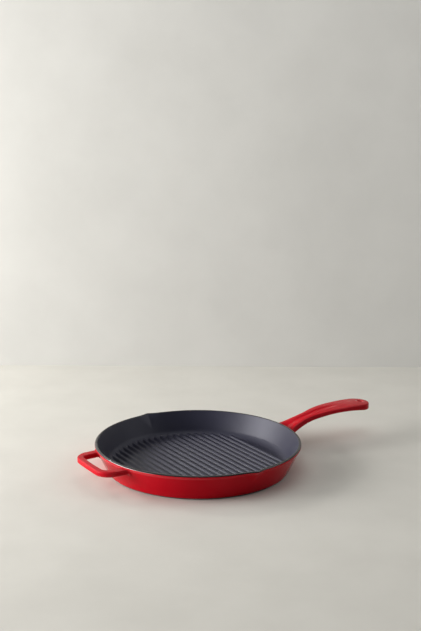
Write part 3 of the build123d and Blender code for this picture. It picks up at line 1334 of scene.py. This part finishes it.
@dataclass
class LongHandle:
    """The long arched handle: waisted plan, channelled top, round holed end.

    Each list of shares gives one measure at even stations from the root to the
    centre of the round end.
    """

    form: PanForm
    reach: float = 0.169
    root_depth: float = 0.010
    root_run: float = 0.006
    root_height: float = 0.0224
    arch_height: float = 0.0487
    root_half_width: float = 0.034
    waist_half_width: float = 0.0123
    end_half_width: float = 0.020
    root_thickness: float = 0.011
    thin_thickness: float = 0.00675
    end_thickness: float = 0.0106
    top_round: float = 0.0017
    bottom_round: float = 0.0024
    crown: float = 0.0008
    hole_radius: float = 0.0042
    hole_from_tip: float = 0.013
    hole_round: float = 0.0020
    channel_half_width: float = 0.011
    channel_depth: float = 0.0021
    channel_blend_share: float = 0.3
    belly_depth: float = 0.0018
    wall_blend: float = 0.0042
    top_wall_blend: float = 0.0042
    rise_shares: tuple[float, ...] = (0, 0.292, 0.569, 0.782, 0.926, 0.994, 1, 0.977, 0.922)
    flare_shares: tuple[float, ...] = (1, 0.272, 0.041, 0, 0, 0, 0, 0, 0)
    swell_shares: tuple[float, ...] = (0, 0, 0, 0.04, 0.468, 0.78, 0.935, 0.987, 1)
    root_shares: tuple[float, ...] = (1, 0.85, 0.45, 0.10, 0, 0, 0, 0, 0)
    end_shares: tuple[float, ...] = (0, 0, 0, 0, 0, 0.01, 0.19, 0.56, 1)
    channel_width_shares: tuple[float, ...] = (1, 0.9, 0.56, 0.5, 0.52, 0.5, 0.45, 0.45, 0.45)
    channel_depth_shares: tuple[float, ...] = (1, 1, 1, 1, 0.95, 0.7, 0.05, 0, 0)
    belly_shares: tuple[float, ...] = (0, 0.5, 0.95, 1, 0.8, 0.45, 0.15, 0, 0)
    row_step: float = 0.0011
    edge_steps: int = 7
    face_steps: int = 26
    side_steps: int = 5
    tip_steps: int = 56
    tip_side_points: int = 12
    ray_points: int = 10
    slope_step: float = 0.0005
    sharp_angle: float = 60.0

    def __post_init__(self) -> None:
        """Work out where the handle starts, ends and has its hole."""
        self.root = self.form.rim_radius - self.root_depth
        self.tip = self.form.rim_radius + self.reach
        self.end = self.tip - self.end_half_width
        self.hole = self.tip - self.hole_from_tip

    def station(self, x: np.ndarray) -> np.ndarray:
        """Give the place along the handle in station numbers."""
        return (x - self.root) / (self.end - self.root) * (len(self.rise_shares) - 1)

    def slope(self, curve: Callable[[np.ndarray], np.ndarray], x: np.ndarray) -> np.ndarray:
        """Give how steeply one of the handle's curves runs."""
        step = self.slope_step
        return (curve(x + step) - curve(x - step)) / (2 * step)

    def half_width(self, x: np.ndarray) -> np.ndarray:
        """Give the half width of the plan up to the round end.

        Args:
            x: Places along the handle.

        Returns:
            The half widths.
        """
        place = self.station(x)
        flare = through_stations(self.flare_shares, place)
        swell = through_stations(self.swell_shares, place)
        return (
            self.waist_half_width
            + (self.root_half_width - self.waist_half_width) * flare
            + (self.end_half_width - self.waist_half_width) * swell
        )

    def middle(self, x: np.ndarray) -> np.ndarray:
        """Give the height of the middle line, straight on past the last station.

        Args:
            x: Places along the handle.

        Returns:
            The heights.
        """
        rise = self.arch_height - self.root_height
        stations = len(self.rise_shares) - 1
        fall = (self.rise_shares[-1] - self.rise_shares[-2]) * stations / (self.end - self.root)
        past = np.maximum(x - self.end, 0.0)
        shares = through_stations(self.rise_shares, self.station(x)) + fall * past
        return self.root_height + rise * shares

    def half_height(self, x: np.ndarray) -> np.ndarray:
        """Give half the thickness, measured straight up.

        Args:
            x: Places along the handle.

        Returns:
            Half the thickness at each place.
        """
        place = self.station(x)
        thickness = (
            self.thin_thickness
            + (self.root_thickness - self.thin_thickness)
            * through_stations(self.root_shares, place)
            + (self.end_thickness - self.thin_thickness)
            * through_stations(self.end_shares, place)
        )
        return thickness / 2 * np.hypot(1, self.slope(self.middle, x))

    def outline_distance(self, x: np.ndarray, y: np.ndarray) -> np.ndarray:
        """Give how far inside the plan's outline points lie.

        Args:
            x: The points' places along the handle.
            y: Their places across it.

        Returns:
            The distances, below zero outside.
        """
        lean = self.slope(self.half_width, x)
        side = (self.half_width(x) - np.abs(y)) / np.hypot(1, lean)
        round_end = self.end_half_width - np.hypot(x - self.end, y)
        return np.where(x > self.end, round_end, side)

    def hole_distance(self, x: np.ndarray, y: np.ndarray) -> np.ndarray:
        """Give how far outside the hanging hole points lie."""
        return np.hypot(x - self.hole, y) - self.hole_radius

    def top(self, x: np.ndarray, y: np.ndarray) -> np.ndarray:
        """Give the height of the crowned and channelled top.

        Args:
            x: The points' places along the handle.
            y: Their places across it.

        Returns:
            The heights.
        """
        place = self.station(x)
        width = self.channel_half_width * through_stations(self.channel_width_shares, place)
        depth = self.channel_depth * through_stations(self.channel_depth_shares, place)
        bowl = smooth_max(1 - (y / width) ** 2, np.zeros_like(y), self.channel_blend_share)
        crowned = self.crown * np.minimum(np.abs(y) / self.half_width(x), 1.0) ** 2
        return (
            self.middle(x)
            + self.half_height(x)
            - crowned
            - np.maximum(depth, 0.0) * bowl
            - edge_drop(self.outline_distance(x, y), self.top_round)
            - edge_drop(self.hole_distance(x, y), self.hole_round)
        )

    def bottom(self, x: np.ndarray, y: np.ndarray) -> np.ndarray:
        """Give the height of the underside.

        Args:
            x: The points' places along the handle.
            y: Their places across it.

        Returns:
            The heights.
        """
        belly = self.belly_depth * through_stations(self.belly_shares, self.station(x))
        return (
            self.middle(x)
            - self.half_height(x)
            - np.maximum(belly, 0.0)
            + edge_drop(self.outline_distance(x, y), self.bottom_round)
            + edge_drop(self.hole_distance(x, y), self.hole_round)
        )

    def across(self, half_width: float) -> np.ndarray:
        """Give the places across the handle where a row has its points.

        Args:
            half_width: The row's half width.

        Returns:
            The places, from one side to the other.
        """
        steps = quarter_steps(self.bottom_round, self.edge_steps)
        inner = half_width - self.bottom_round
        face = np.linspace(-inner, inner, self.face_steps + 1)[1:-1]
        return np.concatenate([steps - half_width, face, (half_width - steps)[::-1]])

    def tip_border(self, last_row: np.ndarray) -> np.ndarray:
        """Lay points round the part of the plan that has the hanging hole.

        Args:
            last_row: The row that the border starts with.

        Returns:
            The border's points, once round.
        """
        side = np.linspace(last_row[0, 0], self.end, self.tip_side_points)[1:]
        width = self.half_width(side)
        swing = np.linspace(math.pi / 2, -math.pi / 2, self.tip_steps + 1)[1:-1]
        tip = self.end_half_width * np.stack([np.cos(swing), np.sin(swing)], axis=-1)
        left = np.stack([side, width], axis=-1)
        right = np.stack([side, -width], axis=-1)[::-1]
        return np.concatenate([last_row, left, tip + (self.end, 0), right])

    def hole_rays(self, border: np.ndarray) -> np.ndarray:
        """Lay rays of points from the hanging hole to a border round it.

        Args:
            border: The border's points, once round.

        Returns:
            The rays, each a row of points.
        """
        centre = np.array([self.hole, 0.0])
        near = self.hole_radius + quarter_steps(self.hole_round, self.edge_steps - 1)
        edge = quarter_steps(self.bottom_round, self.edge_steps)[::-1]
        rays = []
        for outer in border:
            length = float(np.linalg.norm(outer - centre))
            far = length - edge
            between = np.linspace(near[-1], far[0], self.ray_points)[1:-1]
            distances = np.concatenate([near, between, far])
            rays.append(centre + np.outer(distances, (outer - centre) / length))
        return np.array(rays)

    def plank(self) -> Plank:
        """Lay out the handle's plan: a body of rows, then rays round the hole.

        Returns:
            The plan with its faces.
        """
        block_end = self.hole - self.end_half_width + self.hole_radius / 2
        count = math.ceil((block_end - self.root) / self.row_step)
        rows = []
        for x in np.linspace(self.root - self.root_run, block_end, count + 1):
            y = self.across(float(self.half_width(np.array([x]))[0]))
            rows.append(np.stack([np.full_like(y, x), y], axis=-1))
        plank = Plank()
        plank.add_grid(np.array(rows))
        plank.add_grid(self.hole_rays(self.tip_border(rows[-1])), rows_close=True)
        return plank

    def build(self, finisher: Finisher) -> None:
        """Build the handle, blend its root into the wall and dress it.

        Args:
            finisher: Dresses what is built.
        """
        body = self.plank().draft(self.top, self.bottom, self.side_steps)
        piece = body.build("long_handle", self.sharp_angle)
        root_in_wall(piece, self.form, self.wall_blend, self.top_wall_blend)
        nodes = ("long_handle_enamel", "iron_long_handle")
        finisher.dress(piece, RED_ENAMEL, nodes)


@dataclass
class HelperHandle:
    """The loop handle opposite: two arms and a slightly bowed bar."""

    form: PanForm
    reach: float = 0.030
    top_height: float = 0.0363
    thickness: float = 0.0078
    root_half_width: float = 0.049
    root_depth: float = 0.016
    end_half_width: float = 0.046
    corner_radius: float = 0.0205
    arm_width: float = 0.0115
    bar_width: float = 0.009
    gap_corner_radius: float = 0.008
    bar_bow: float = 0.0018
    edge_round: float = 0.0018
    wall_blend: float = 0.0026
    top_wall_blend: float = 0.0008
    arm_steps: int = 44
    corner_steps: int = 18
    bar_steps: int = 26
    edge_steps: int = 7
    face_steps: int = 5
    side_steps: int = 3
    sharp_angle: float = 60.0

    def outline(self, end: float, end_half: float, root_half: float, corner: float) -> np.ndarray:
        """Lay points along one side of the loop, from one root to the other.

        Args:
            end: Where the bar's side lies along X.
            end_half: Half width of the loop at the bar.
            root_half: Half width of the loop at its root.
            corner: Radius of its corners.

        Returns:
            The points in plan.
        """
        rim = self.form.rim_radius
        root = self.root_depth - math.sqrt(rim**2 - self.root_half_width**2)
        lean = math.atan2(root_half - end_half, root - end)
        reach = corner * math.tan((math.pi / 2 - lean) / 2)
        arm_end = np.array([end + reach * math.cos(lean), end_half + reach * math.sin(lean)])
        centre = arm_end + corner * np.array([math.sin(lean), -math.cos(lean)])
        arm = np.linspace((root, root_half), arm_end, self.arm_steps + 1)[:-1]
        swing = np.linspace(math.pi / 2 + lean, math.pi, self.corner_steps + 1)
        bend = centre + corner * np.stack([np.cos(swing), np.sin(swing)], axis=-1)
        half_bar = np.linspace(bend[-1], (end, 0), self.bar_steps + 1)[1:]
        half = np.concatenate([arm, bend, half_bar])
        half[:, 0] += self.bar_bow * (half[:, 1] / end_half) ** 2
        return np.concatenate([half, half[-2::-1] * (1, -1)])

    def rows(self) -> tuple[np.ndarray, np.ndarray]:
        """Lay rows of plan points across the loop, all along it.

        Returns:
            The rows, and how far inside the loop's outline each point lies.
        """
        end = -(self.form.rim_radius + self.reach)
        outer = self.outline(end, self.end_half_width, self.root_half_width, self.corner_radius)
        inner = self.outline(
            end + self.bar_width,
            self.end_half_width - self.arm_width,
            self.root_half_width - self.arm_width,
            self.gap_corner_radius,
        )
        steps = quarter_steps(self.edge_round, self.edge_steps)
        rows, depths = [], []
        for out, gap in zip(outer, inner):
            width = float(np.linalg.norm(gap - out))
            face = np.linspace(self.edge_round, width - self.edge_round, self.face_steps + 1)
            places = np.concatenate([steps, face[1:-1], (width - steps)[::-1]])
            rows.append(out + np.outer(places, (gap - out) / width))
            depths.append(np.minimum(places, width - places))
        return np.array(rows), np.concatenate(depths)

    def body(self) -> MeshDraft:
        """Raise the loop to a closed body with rounded edges.

        Returns:
            The body's mesh draft.
        """
        rows, depths = self.rows()
        drops = edge_drop(depths, self.edge_round)
        keys = weld_keys(rows.reshape(-1, 2))
        drop_at = {tuple(key): drop for key, drop in zip(keys.tolist(), drops)}

        def edge(x: np.ndarray, y: np.ndarray) -> np.ndarray:
            """Give the drop of the rounded edges at plan points."""
            spots = weld_keys(np.stack([x, y], axis=-1))
            return np.array([drop_at[tuple(spot)] for spot in spots.tolist()])

        low = self.top_height - self.thickness
        plank = Plank()
        plank.add_grid(rows)
        return plank.draft(
            lambda x, y: self.top_height - edge(x, y),
            lambda x, y: low + edge(x, y),
            self.side_steps,
        )

    def build(self, finisher: Finisher) -> None:
        """Build the loop, blend its arms into the wall and dress it.

        Args:
            finisher: Dresses what is built.
        """
        piece = self.body().build("helper_handle", self.sharp_angle)
        root_in_wall(piece, self.form, self.wall_blend, self.top_wall_blend)
        nodes = ("helper_handle_enamel", "iron_helper_handle")
        finisher.dress(piece, RED_ENAMEL, nodes)


FLOOR_FINISH = StageFinish(
    name="pale_floor",
    face=(0.60, 0.585, 0.535, 1.0),
    cloud=(0.565, 0.55, 0.502, 1.0),
    cloud_scale=9.0,
)
WALL_FINISH = StageFinish(
    name="pale_wall",
    face=(0.60, 0.595, 0.567, 1.0),
    cloud=(0.565, 0.56, 0.533, 1.0),
    cloud_scale=7.0,
)


@dataclass(frozen=True)
class SoftLight:
    """One soft rectangular light above the pan.

    The bearing is counted from the camera's heading, to the right, and the
    elevation from the floor, both in degrees.
    """

    name: str
    bearing: float
    elevation: float
    distance: float
    width: float
    depth: float
    power: float
    colour: tuple[float, float, float]


WARM_WHITE = (1.0, 0.99, 0.98)
PLAIN_WHITE = (1.0, 1.0, 1.0)
COOL_WHITE = (0.98, 0.99, 1.0)
SOFT_LIGHTS = (
    SoftLight("window_near", -120.0, 16.0, 2.2, 0.9, 0.9, 21.0, WARM_WHITE),
    SoftLight("window", -98.0, 16.0, 2.2, 0.9, 0.9, 53.0, WARM_WHITE),
    SoftLight("window_far", -76.0, 16.0, 2.2, 0.9, 0.9, 25.0, WARM_WHITE),
    SoftLight("gleam", -62.0, 33.0, 1.2, 0.07, 0.10, 1.4, WARM_WHITE),
    SoftLight("overhead", 0.0, 88.0, 1.7, 1.6, 1.6, 8.5, PLAIN_WHITE),
    SoftLight("fill", 88.0, 36.0, 1.9, 1.2, 1.0, 7.0, COOL_WHITE),
)


@dataclass
class Studio:
    """Plain pale floor and wall, soft lights, and the photograph's camera."""

    camera_place: tuple[float, float, float] = (-0.7631, -1.22605, 0.5275)
    heading: tuple[float, float] = (0.53832, 0.84274)
    pitch: float = math.radians(11.84)
    roll: float = math.radians(0.3075)
    lens: float = 59.249
    sensor: float = 36.0
    wall_distance: float = 2.02
    wall_height: float = 1.1
    stage_width: float = 7.0
    stage_depth: float = 6.0
    world_colour: Colour = (0.80, 0.82, 0.84, 1.0)
    world_strength: float = 0.03

    def level(self) -> Vector:
        """Give the level direction in which the camera looks."""
        return Vector((*self.heading, 0)).normalized()

    def aside(self) -> Vector:
        """Give the level direction to the camera's right."""
        return self.level().cross(Vector((0, 0, 1)))

    def axes(self) -> tuple[Vector, Vector, Vector]:
        """Give the camera's right, up and forward directions.

        Returns:
            The three directions, square to each other.
        """
        forward = self.level() * math.cos(self.pitch) - Vector((0, 0, math.sin(self.pitch)))
        right = forward.cross(Vector((0, 0, 1))).normalized()
        up = right.cross(forward)
        tilted = right * math.cos(self.roll) + up * math.sin(self.roll)
        return tilted, tilted.cross(forward), forward

    def ground(self, right: float, ahead: float, height: float) -> Vector:
        """Give a place by its distance to the right of and ahead of the camera."""
        foot = Vector((self.camera_place[0], self.camera_place[1], 0))
        return foot + self.aside() * right + self.level() * ahead + Vector((0, 0, height))

    def add_camera(self) -> None:
        """Set the camera where the photograph was taken."""
        data = bpy.data.cameras.new("camera")
        data.lens = self.lens
        data.sensor_width = self.sensor
        camera = new_object("camera", data)
        right, up, forward = self.axes()
        turned = Matrix((right, up, -forward)).transposed().to_4x4()
        camera.matrix_world = Matrix.Translation(self.camera_place) @ turned
        bpy.context.scene.camera = camera

    def add_panel(self, name: str, corners: list[Vector], material: bpy.types.Material) -> None:
        """Add a flat panel of the stage.

        Args:
            name: The panel's name.
            corners: Its four corners, in order round it.
            material: Its material.
        """
        mesh = bpy.data.meshes.new(name)
        mesh.from_pydata([tuple(corner) for corner in corners], [], [(0, 1, 2, 3)])
        mesh.materials.append(material)
        new_object(name, mesh)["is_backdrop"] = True

    def add_stage(self, shelf: EffectShelf) -> None:
        """Lay the floor and stand the wall behind it.

        Args:
            shelf: The shared effects.
        """
        half, far = self.stage_width / 2, self.wall_distance
        near, top = far - self.stage_depth, self.wall_height
        floor = ((-half, near, 0), (half, near, 0), (half, far, 0), (-half, far, 0))
        wall = ((-half, far, 0), (half, far, 0), (half, far, top), (-half, far, top))
        for name, spots, finish in (("floor", floor, FLOOR_FINISH), ("wall", wall, WALL_FINISH)):
            self.add_panel(name, [self.ground(*spot) for spot in spots], finish.material(shelf))

    def add_light(self, soft: SoftLight) -> None:
        """Hang one soft light so that it faces the pan.

        Args:
            soft: The light to hang.
        """
        bearing, elevation = math.radians(soft.bearing), math.radians(soft.elevation)
        way = self.level() * math.cos(bearing) + self.aside() * math.sin(bearing)
        place = way * math.cos(elevation) + Vector((0, 0, math.sin(elevation)))
        data = bpy.data.lights.new(soft.name, "AREA")
        data.shape = "RECTANGLE"
        data.size, data.size_y = soft.width, soft.depth
        data.energy = soft.power
        data.color = soft.colour
        light = new_object(soft.name, data)
        light.location = place * soft.distance
        light.rotation_mode = "QUATERNION"
        light.rotation_quaternion = (-place).to_track_quat("-Z", "Y")

    def add_lights(self) -> None:
        """Add the soft lights and the plain surroundings."""
        for soft in SOFT_LIGHTS:
            self.add_light(soft)
        world = bpy.data.worlds.new("studio")
        world.use_nodes = True
        tree = Tree(world.node_tree)
        output = tree.add("ShaderNodeOutputWorld")
        background = tree.add(
            "ShaderNodeBackground", {"Color": self.world_colour, "Strength": self.world_strength}
        )
        tree.join(background.outputs["Background"], output.inputs["Surface"])
        bpy.context.scene.world = world

    def build(self, shelf: EffectShelf) -> None:
        """Build the stage, the lights and the camera.

        Args:
            shelf: The shared effects.
        """
        self.add_stage(shelf)
        self.add_lights()
        self.add_camera()
        bpy.context.scene.view_settings.view_transform = "Standard"


def main() -> None:
    """Build the pan and the studio, piece by piece."""
    logging.basicConfig(level=logging.INFO, format="%(name)s: %(message)s")
    _, rim_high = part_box("rim_enamel")
    form = PanForm(rim_high.x, rim_high.z, lip_reach=rim_high.y - rim_high.x)
    shelf = EffectShelf()
    finisher = Finisher(shelf)
    PanShell(form).build(finisher)
    CookingSurface(form).build(finisher)
    LongHandle(form).build(finisher)
    HelperHandle(form).build(finisher)
    Studio().build(shelf)
    LOG.info("pieces shown: %s", ", ".join(sorted(piece.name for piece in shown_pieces())))


if __name__ == "__main__":
    main()
